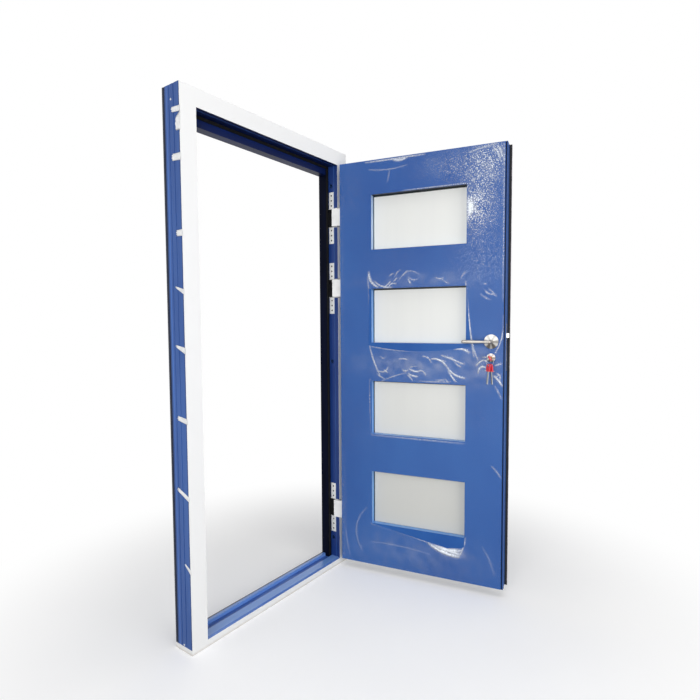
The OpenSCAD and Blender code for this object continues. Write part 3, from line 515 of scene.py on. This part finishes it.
# Roses: turned discs of brushed nickel under the levers and round the cylinder on both faces, with painted
# light: lighter above, darker below, and painted highlights in rays.
def turned(name, centre):
    """Brushed metal turned round the lock's axis, with painted light and shade in its tone.

    Its tone is the sine of the angle less a share of the cosine of six times the angle: painted light above,
    painted shade below and painted highlights in rays.
    """
    material, add, link, shader = surface(name, Metallic=0.25, Roughness=0.45)
    place = add("TexCoord")
    arm = add("VectorMath", {1: tuple(centre)}, operation="SUBTRACT")
    across = add("VectorMath", {1: tuple(across_leaf)}, operation="DOT_PRODUCT")
    upward = add("SeparateXYZ")
    angle = add("Math", operation="ARCTAN2")
    lit = add("Math", operation="SINE")
    six = add("Math", {1: 6.0}, operation="MULTIPLY")
    rays = add("Math", operation="COSINE")
    swell = add("Math", {1: -0.55}, operation="MULTIPLY_ADD")
    half = add("MapRange", {"From Min": -1.5, "From Max": 1.5})
    tone = add("ValToRGB")
    tone.color_ramp.elements[0].position = 0.15
    tone.color_ramp.elements[0].color = tint(62, 58, 54)
    tone.color_ramp.elements[1].position = 0.9
    tone.color_ramp.elements[1].color = tint(238, 236, 231)
    soft = add("Bevel", {"Radius": 0.002}, samples=4)
    link(place.outputs["Object"], arm.inputs[0])
    link(arm.outputs["Vector"], across.inputs[0])
    link(arm.outputs["Vector"], upward.inputs["Vector"])
    link(upward.outputs["Z"], angle.inputs[0])
    link(across.outputs["Value"], angle.inputs[1])
    link(angle.outputs[0], lit.inputs[0])
    link(angle.outputs[0], six.inputs[0])
    link(six.outputs[0], rays.inputs[0])
    link(rays.outputs[0], swell.inputs[0])
    link(lit.outputs[0], swell.inputs[2])
    link(swell.outputs[0], half.inputs["Value"])
    link(half.outputs["Result"], tone.inputs["Fac"])
    link(tone.outputs["Color"], shader.inputs["Base Color"])
    link(soft.outputs["Normal"], shader.inputs["Normal"])
    return material


cylinder_drop = 0.072
dress(turned("rose_nickel", lever_at), "outside_rose", "inside_rose")
dress(turned("escutcheon_nickel", lever_at - np.array([0, 0, cylinder_drop])),
      "outside_escutcheon", "inside_escutcheon", "cylinder_body")

# Levers: solid nickel handles, each a neck that bends into a bar, slim at the bend and
# swelling towards a rounded tip, both on one spindle.
lever_stand, lever_len, bend_r = 0.050, 0.124, 0.012
lever_sunk, neck_r, bend_girth, tip_r = 0.0012, 0.0094, 0.0055, 0.0080
lever_around = 33
nickel = coated("nickel", tint(150, 144, 136), tint(192, 187, 179), scale=90.0, stretch=(6, 1, 6), grain=0.1,
                Metallic=0.85, Roughness=0.3)


def lever_shape(face, away):
    """A round section swept along a straight, a quarter bend and a straight.

    Its radius runs straight between set points, is nothing at the seat and closes at the tip as a half
    circle does.
    """
    neck = lever_stand - bend_r
    bend = bend_r * math.pi / 2
    total = neck + bend + lever_len - bend_r
    tip = total - tip_r * (1 - np.sin(np.linspace(0.1, 1.5708, 12)))
    steps = np.concatenate([[0, 0.0002], np.linspace(0.002, total - tip_r, 60), tip])
    turn_by = np.clip((steps - neck) / bend, 0, 1) * math.pi / 2
    rise = np.minimum(steps, neck) + bend_r * np.sin(turn_by)
    along = bend_r * (1 - np.cos(turn_by)) + np.clip(steps - neck - bend, 0, None)
    girth_at = [0, 0.0002, 0.030, neck + bend, 0.085, 0.125, total]
    girth = [0.009, neck_r, neck_r, bend_girth, 0.0062, 0.0078, tip_r]
    into_tip = np.clip((steps - total + tip_r) / tip_r, 0, 1)
    radius = np.interp(steps, girth_at, girth) * np.sqrt(np.clip(1 - into_tip ** 2, 0, 1))
    radius[0] = 0.0
    angle = np.linspace(0, 2 * math.pi, lever_around)[:-1]
    normal = np.stack([-np.sin(turn_by), np.cos(turn_by)], -1)
    bar = -across_leaf
    centre = face + rise[:, None] * away + along[:, None] * bar
    sideways = normal[:, 1:] * bar + normal[:, :1] * away
    upward = np.array([0, 0, 1.0])
    ring = np.cos(angle)[None, :, None] * sideways[:, None, :] + np.sin(angle)[None, :, None] * upward
    points = centre[:, None, :] + radius[:, None, None] * ring
    return np.concatenate([points, points[:, :1]], axis=1)


for lever_name, away in (("outside_lever", out), ("inside_lever", -out)):
    sweep = lever_shape(lever_at + (half_leaf - lever_sunk) * away, away)
    seam = np.arange(len(sweep) * lever_around)
    seam[lever_around - 1::lever_around] -= lever_around - 1
    around = seam[grid_faces(len(sweep), lever_around)]
    lever = mesh_of(lever_name + "_shape", sweep, around if away is out else around[:, ::-1])
    lever.data.materials.append(nickel)
    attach(lever, "lever_set")
    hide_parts(lever_name)

# Keys: one in the cylinder and two on the ring, each a steel blade with a red moulded bow,
# and the brass plug that they fit.
brass = coated("brass", tint(150, 118, 52), tint(196, 160, 82), scale=90.0, Metallic=1.0, Roughness=0.35)
dress(brass, "cylinder_plug")


def key_look(name, axis, edge):
    """Red past the edge along the axis and steel short of it, both with a fine drift in tone."""
    material, add, link, shader = surface(name, Roughness=0.3)
    place = add("TexCoord")
    along = add("VectorMath", {1: tuple(axis)}, operation="DOT_PRODUCT")
    bow = add("Math", {1: edge}, operation="GREATER_THAN")
    blade = add("Math", {0: 1.0}, operation="SUBTRACT")
    drift = add("TexNoise", {"Scale": 160.0, "Detail": 3.0})
    red = add("MixRGB", {"Color1": tint(204, 30, 48), "Color2": tint(240, 70, 84)})
    grey = add("MixRGB", {"Color1": tint(132, 132, 128), "Color2": tint(204, 203, 196)})
    pick = add("MixRGB")
    link(place.outputs["Object"], along.inputs[0])
    link(place.outputs["Object"], drift.inputs["Vector"])
    link(along.outputs["Value"], bow.inputs[0])
    link(bow.outputs[0], blade.inputs[1])
    link(drift.outputs[0], red.inputs["Fac"])
    link(drift.outputs[0], grey.inputs["Fac"])
    link(bow.outputs[0], pick.inputs["Fac"])
    link(grey.outputs["Color"], pick.inputs["Color1"])
    link(red.outputs["Color"], pick.inputs["Color2"])
    link(pick.outputs["Color"], shader.inputs["Base Color"])
    link(blade.outputs[0], shader.inputs["Metallic"])
    return material


bow_from_face, bow_len = 0.011, 0.034
dress(key_look("key_in_lock", out, float(out @ lever_at) + half_leaf + bow_from_face), "key")
spare_top = float(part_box("spare_keys")[1][2])
dress(key_look("spare_key", (0, 0, 1), spare_top - bow_len), "spare_keys")

# Film: one sheet of clear protective film on the leaf's outside, cut out round the lites and the lock, stuck
# flat at the edges and loose and wrinkled where it was pulled back from two of the lites. Its creases are
# painted white as highlights, its specks are painted glints, and its milky veil carries painted glare in the
# top right.
film_off, film_cell = 0.00015, 0.0037
film_margin, film_right, film_top, first_cut = 0.002, 0.797, 1.987, 0.212
film_cuts = [first_cut + n * lite_pitch + edge for n in range(lite_count) for edge in (0, lite_high)]
film_u = (film_margin, lite_left, lite_right, film_right)
film_v = (film_margin, *film_cuts, film_top)
stuck_left, stuck_right, stuck_top, stuck_fade = 0.020, 0.785, 1.940, 0.01
slack_lift = 0.0012
long_folds = {
    # whiteness of the painted highlight, half width, lift, start and finish on the leaf, and bulge to the
    # left of the way, in millimetres
    "top_edge": (0.80, 3.0, 0.0, (140, 1980), (435, 1982), 0),
    "top_edge_glint": (0.90, 5.0, 0.0, (285, 1976), (350, 1980), -6),
    "top_edge_far": (0.45, 3.0, 0.3, (640, 1962), (760, 1984), 2),
    "top_corner_outer": (0.75, 3.0, 0.3, (766, 1974), (784, 1925), 4),
    "top_corner_inner": (0.60, 3.0, 0.3, (742, 1974), (776, 1912), 8),
    "above_lite_1": (0.35, 2.5, 0.6, (155, 1945), (350, 1945), -10),
    "into_lite_1": (0.30, 3.0, 0.5, (262, 1935), (252, 1880), 2),
    "lite_1_head": (0.50, 2.0, 0.0, (330, 1829), (630, 1829), 0),
    "lite_1_glare": (1.00, 12.0, 0.0, (645, 1748), (643, 1692), 3),
    "lock_edge": (0.50, 2.0, 0.0, (795, 1980), (795, 1300), 0),
    "lite_2_hook": (0.95, 4.5, 2.0, (155, 1455), (202, 1383), -15),
    "lite_2_shoulder": (0.80, 3.0, 1.5, (184, 1411), (277, 1380), -12),
    "lite_2_arch": (0.35, 2.2, 0.8, (314, 1417), (411, 1435), 26),
    "lite_2_left": (0.60, 2.6, 1.5, (148, 1432), (158, 1096), 8),
    "lite_2_right": (0.75, 3.0, 1.5, (630, 1392), (669, 1055), -4),
    "lite_2_foot": (0.55, 3.0, 2.5, (158, 1096), (587, 1099), -21),
    "lite_2_corner": (0.95, 4.0, 2.0, (581, 1088), (648, 1074), 8),
    "lock_drape": (0.60, 2.8, 0.6, (798, 1241), (763, 1071), 14),
    "lock_drape_near": (0.55, 3.0, 1.0, (660, 1134), (689, 1040), -6),
    "cut_corner": (0.65, 3.0, 2.0, (158, 1096), (212, 954), -5),
    "swoop_crest": (0.90, 3.5, 2.5, (473, 1041), (545, 1006), 12),
    "swoop_tail": (0.90, 3.5, 2.5, (545, 1006), (629, 956), -12),
    "swoop_upper": (0.80, 3.0, 2.0, (520, 1058), (617, 1021), 2),
    "swoop_lower": (0.80, 3.0, 2.0, (551, 987), (589, 937), -2),
    "left_pair_upper": (0.85, 3.5, 1.5, (364, 990), (409, 979), -4),
    "left_pair_lower": (0.85, 3.5, 1.5, (358, 968), (403, 955), -3),
    "lite_3_shoulder": (0.40, 2.5, 1.0, (219, 926), (346, 971), 3),
    "lite_3_head": (0.50, 2.5, 1.0, (412, 934), (564, 937), -2),
    "lock_hump": (0.65, 3.2, 2.0, (689, 981), (733, 1000), 22),
    "lock_tail": (0.90, 3.8, 2.0, (758, 972), (795, 928), 3),
    "lock_tail_low": (0.40, 3.0, 1.0, (763, 926), (795, 869), 0),
    "lite_3_left": (0.45, 3.0, 1.5, (160, 932), (166, 659), -3),
    "lite_3_foot": (0.40, 3.0, 1.0, (169, 656), (627, 654), 0),
    "lock_edge_low": (0.40, 3.0, 0.1, (753, 562), (795, 512), 3),
    "lite_4_foot": (0.60, 3.5, 2.5, (166, 208), (468, 158), 6),
    "loose_lip": (1.00, 8.0, 5.0, (490, 152), (616, 148), -9),
    "loose_lip_low": (1.00, 7.0, 4.5, (462, 158), (604, 118), -10),
    "loose_lip_middle": (0.90, 6.0, 3.0, (530, 132), (606, 130), 6),
    "loose_lip_end": (0.50, 3.5, 2.0, (606, 120), (636, 213), -6),
    "foot_loop": (0.20, 4.0, 0.6, (138, 285), (113, 60), -45),
    "foot_right": (0.15, 4.0, 0.6, (713, 184), (768, 62), 8),
    "foot_low": (0.18, 3.0, 0.8, (162, 115), (468, 104), 9),
    "foot_edge": (0.15, 3.5, 0.1, (22, 174), (46, 24), -4),
}
crease_bands = {
    # how many, range across and up, mean slope and its spread in degrees, range of length, of whiteness of
    # the painted highlight and of lift, in millimetres
    "above_lite_2": (11, (240, 640), (1385, 1445), 0, 35, (18, 55), (0.3, 0.75), (0.6, 1.4)),
    "lite_2_to_3": (16, (200, 650), (935, 1060), -12, 22, (20, 60), (0.3, 0.7), (0.8, 1.8)),
    "beside_lock": (7, (690, 780), (965, 1060), -10, 45, (20, 45), (0.5, 0.85), (0.8, 1.6)),
    "beside_lite_2": (6, (670, 785), (1265, 1415), -28, 14, (10, 50), (0.3, 0.6), (0.1, 0.3)),
}
crease_half_width, crease_bulge, crease_seed = (2.2, 3.4), 0.14, 11
arc_points = 6
veils_and_glare = [
    # milkiness, with painted glare in the rows in the top right, middle across and up, half widths across and
    # up, in millimetres
    (0.34, 400, 1010, 250, 62), (0.20, 400, 1410, 260, 34), (0.22, 700, 1010, 80, 90),
    (0.14, 400, 90, 330, 90), (0.90, 570, 136, 50, 18), (0.5, 655, 1722, 30, 60),
    (0.26, 690, 1740, 70, 130), (0.30, 740, 1910, 90, 90), (0.12, 560, 1930, 150, 60),
]
glint_speck_fields = [
    # density of painted glints, middle across and up, half widths across and up, in millimetres
    (1.1, 700, 1770, 90, 150), (1.4, 660, 1722, 40, 70), (1.1, 740, 1930, 90, 70),
    (0.6, 580, 1910, 130, 60), (0.45, 700, 1480, 120, 110), (0.22, 60, 1850, 60, 120),
    (0.12, 700, 760, 90, 60), (0.12, 300, 1500, 140, 60), (0.1, 120, 700, 90, 140),
    (0.5, 10, 250, 14, 280), (0.3, 8, 1500, 10, 420),
]


def bowed(start, finish, bulge):
    """Points on a shallow arc: a straight, pushed aside by a parabola of the bulge's height."""
    start, finish = np.array(start, float), np.array(finish, float)
    way = finish - start
    aside = np.array([-way[1], way[0]]) / np.linalg.norm(way)
    step = np.linspace(0, 1, arc_points)[:, None]
    return start + step * way + 4 * bulge * step * (1 - step) * aside


def near_path(u, v, points):
    """The distance to a line of joined straights, and the share of its length at the nearest place."""
    best = np.full(u.shape, np.inf)
    share = np.zeros(u.shape)
    ends = np.array(points) / 1000.0
    lengths = np.linalg.norm(np.diff(ends, axis=0), axis=1)
    before = np.concatenate([[0], np.cumsum(lengths)])
    for start, finish, length, passed in zip(ends[:-1], ends[1:], lengths, before):
        way = (finish - start) / length
        along = np.clip((u - start[0]) * way[0] + (v - start[1]) * way[1], 0, length)
        gap = np.hypot(u - start[0] - along * way[0], v - start[1] - along * way[1])
        share = np.where(gap < best, (passed + along) / before[-1], share)
        best = np.minimum(best, gap)
    return best, share


def blob(u, v, amount, middle_u, middle_v, half_u, half_v):
    """A smooth hill: e to the power of less the square of the distance in half widths, times the amount."""
    return amount * np.exp(-((u * 1000 - middle_u) / half_u) ** 2 - ((v * 1000 - middle_v) / half_v) ** 2)


def ladder(stops):
    """Even steps of about one cell between the stops, which are kept."""
    spans = zip(stops[:-1], stops[1:])
    rungs = [np.linspace(a, b, max(2, int(round((b - a) / film_cell)) + 1))[:-1] for a, b in spans]
    return np.concatenate(rungs + [[stops[-1]]])


line_u, line_v = ladder(film_u), ladder(film_v)
flat_u, flat_v = np.meshgrid(line_u, line_v, indexing="ij")


def pulled(flat_u, flat_v):
    """Moves the cut edges away from the lites, by a sine or between set points.

    Each edge fades to no offset within a hand's width or two.
    """
    below_2 = 0.039 * np.sin(np.pi * np.clip((flat_u - 0.10) / 0.60, 0, 1))
    below_4 = np.interp(flat_u, [0.10, lite_left, 0.55, 0.62, 0.70], [0, 0.004, 0.062, 0.050, 0])
    foot_4, foot_2 = film_cuts[0], film_cuts[4]
    fade_2 = np.interp(flat_v, [0.95, foot_2, 1.20], [0, 1, 0])
    fade_4 = np.interp(flat_v, [0.02, foot_4, 0.30], [0, 1, 0])
    left = np.interp(flat_v, [0.64, 0.70, 0.92, 0.94, 1.06, foot_2, 1.22, 1.34, 1.40, 1.46],
                     [0, 0.006, 0.008, 0, 0.004, 0.016, 0.012, 0.012, 0.018, 0])
    right = np.interp(flat_v, [1.02, foot_2, 1.36, 1.42], [0, 0.020, 0.004, 0])
    fade_right = np.interp(flat_u, [0.5, lite_right, 0.74], [0, 1, 0])
    fade_left = np.interp(flat_u, [0.02, lite_left, 0.3], [0, 1, 0])
    return flat_u + (right * fade_right - left * fade_left), flat_v - (below_2 * fade_2 + below_4 * fade_4)


at_u, at_v = pulled(flat_u, flat_v)
crease_highlight = np.zeros(at_u.shape)
lifted = np.zeros(at_u.shape)
folds = [(*look, bowed(start, finish, bulge)) for *look, start, finish, bulge in long_folds.values()]
draw = np.random.default_rng(crease_seed)
for count, reach_u, reach_v, slope, spread, lengths, highlight_whites, rises in crease_bands.values():
    for _ in range(count):
        crease_at = np.array([draw.uniform(*reach_u), draw.uniform(*reach_v)])
        angle = np.radians(draw.normal(slope, spread))
        length = draw.uniform(*lengths)
        half = length / 2 * np.array([np.cos(angle), np.sin(angle)])
        bent = bowed(crease_at - half, crease_at + half, length * draw.normal(0, crease_bulge))
        folds.append((draw.uniform(*highlight_whites), draw.uniform(*crease_half_width), draw.uniform(*rises), bent))
for highlight_white, half_width, rise, points in folds:
    gap, share = near_path(at_u, at_v, points)
    fading = np.sqrt(np.clip(np.sin(np.pi * (0.06 + 0.88 * share)), 0, 1))
    ridge = np.exp(-(gap * 1000 / half_width) ** 2) * fading
    crease_highlight = np.maximum(crease_highlight, highlight_white * ridge)
    lifted = np.maximum(lifted, rise / 1000 * ridge)
veil_and_glare = sum(blob(at_u, at_v, *row) for row in veils_and_glare)
glint_specks = sum(blob(at_u, at_v, *row) for row in glint_speck_fields)
waves = np.sin(95 * at_u + 60 * at_v) * np.sin(70 * at_v - 40 * at_u)
slack = slack_lift * np.clip(veil_and_glare, 0, 0.4) * (1 + waves)
from_stuck = np.minimum.reduce([at_u - stuck_left, stuck_right - at_u, stuck_top - at_v])
inner = np.clip(from_stuck / stuck_fade, 0, 1)
points = (leaf_corner + at_u[..., None] * across_leaf + at_v[..., None] * np.array([0, 0, 1.0])
          + (film_off + inner * (lifted + slack))[..., None] * out)
film_faces = grid_faces(len(line_u), len(line_v))
middle_u, middle_v = (flat.reshape(-1)[film_faces].mean(axis=1) for flat in (flat_u, flat_v))
in_lite = (middle_u > film_u[1]) & (middle_u < film_u[2]) & (np.searchsorted(film_v, middle_v) % 2 == 0)
rose_clear, cylinder_clear = 0.0350, 0.0230
at_lock = ((np.hypot(middle_u - lever_u, middle_v - lever_v) < rose_clear)
           | (np.hypot(middle_u - lever_u, middle_v - lever_v + cylinder_drop) < cylinder_clear))
kept_faces = film_faces[~(in_lite | at_lock)]
used, renumbered = np.unique(kept_faces, return_inverse=True)
film = mesh_of("film", points.reshape(-1, 3)[used], renumbered.reshape(-1, 4))
for field_name, field in (("crease_highlight", crease_highlight), ("veil_and_glare", veil_and_glare), ("glint_specks", glint_specks)):
    values = film.data.attributes.new(field_name, "FLOAT", "POINT").data
    values.foreach_set("value", field.reshape(-1)[used].astype(np.float32))
# Painted light: creases show as painted white highlights, the dots as painted glints and the veil as
# milkiness with painted glare in the top right.
film_look, add, link, shader = surface("film_look", Roughness=0.16)
shader.inputs["Base Color"].default_value = tint(238, 244, 252)
place = add("TexCoord")
fine = add("TexNoise", {"Scale": 130.0, "Detail": 4.0, "Roughness": 0.7})
broken = add("MapRange", {"From Min": 0.40, "From Max": 0.62, "To Min": 0.55, "To Max": 1.3})
line = add("Attribute", attribute_name="crease_highlight")
lines = add("Math", operation="MULTIPLY")
# Painted glints: pale Voronoi dots scaled by the glint speck fields.
glint_cells = add("TexVoronoi", {"Scale": 170.0})
dots = add("MapRange", {"From Min": 0.55, "From Max": 0.12})
pale_dots = add("Math", operation="MULTIPLY")
field = add("Attribute", attribute_name="glint_specks")
spotted = add("Math", operation="MULTIPLY")
# Milkiness of the loose film, and painted glare in the top right.
milk = add("Attribute", attribute_name="veil_and_glare")
cloud = add("TexNoise", {"Scale": 22.0, "Detail": 5.0})
patchy = add("MapRange", {"From Min": 0.35, "From Max": 0.7, "To Min": 0.12, "To Max": 0.7})
milky = add("Math", operation="MULTIPLY")
first = add("Math", operation="ADD")
second = add("Math", operation="ADD")
cover = add("Math", {1: 0.025}, operation="ADD", use_clamp=True)
crinkle = add("Bump", {"Strength": 0.35, "Distance": 0.002})
link(place.outputs["Object"], fine.inputs["Vector"])
link(place.outputs["Object"], glint_cells.inputs["Vector"])
link(place.outputs["Object"], cloud.inputs["Vector"])
link(fine.outputs[0], broken.inputs["Value"])
link(line.outputs["Fac"], lines.inputs[0])
link(broken.outputs["Result"], lines.inputs[1])
link(glint_cells.outputs["Distance"], dots.inputs["Value"])
link(dots.outputs["Result"], pale_dots.inputs[0])
link(glint_cells.outputs["Color"], pale_dots.inputs[1])
link(pale_dots.outputs[0], spotted.inputs[0])
link(field.outputs["Fac"], spotted.inputs[1])
link(cloud.outputs[0], patchy.inputs["Value"])
link(patchy.outputs["Result"], milky.inputs[0])
link(milk.outputs["Fac"], milky.inputs[1])
link(lines.outputs[0], first.inputs[0])
link(spotted.outputs[0], first.inputs[1])
link(first.outputs[0], second.inputs[0])
link(milky.outputs[0], second.inputs[1])
link(second.outputs[0], cover.inputs[0])
link(cover.outputs[0], shader.inputs["Alpha"])
link(cloud.outputs[0], crinkle.inputs["Height"])
link(crinkle.outputs["Normal"], shader.inputs["Normal"])
film.data.materials.append(film_look)
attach(film, "leaf")
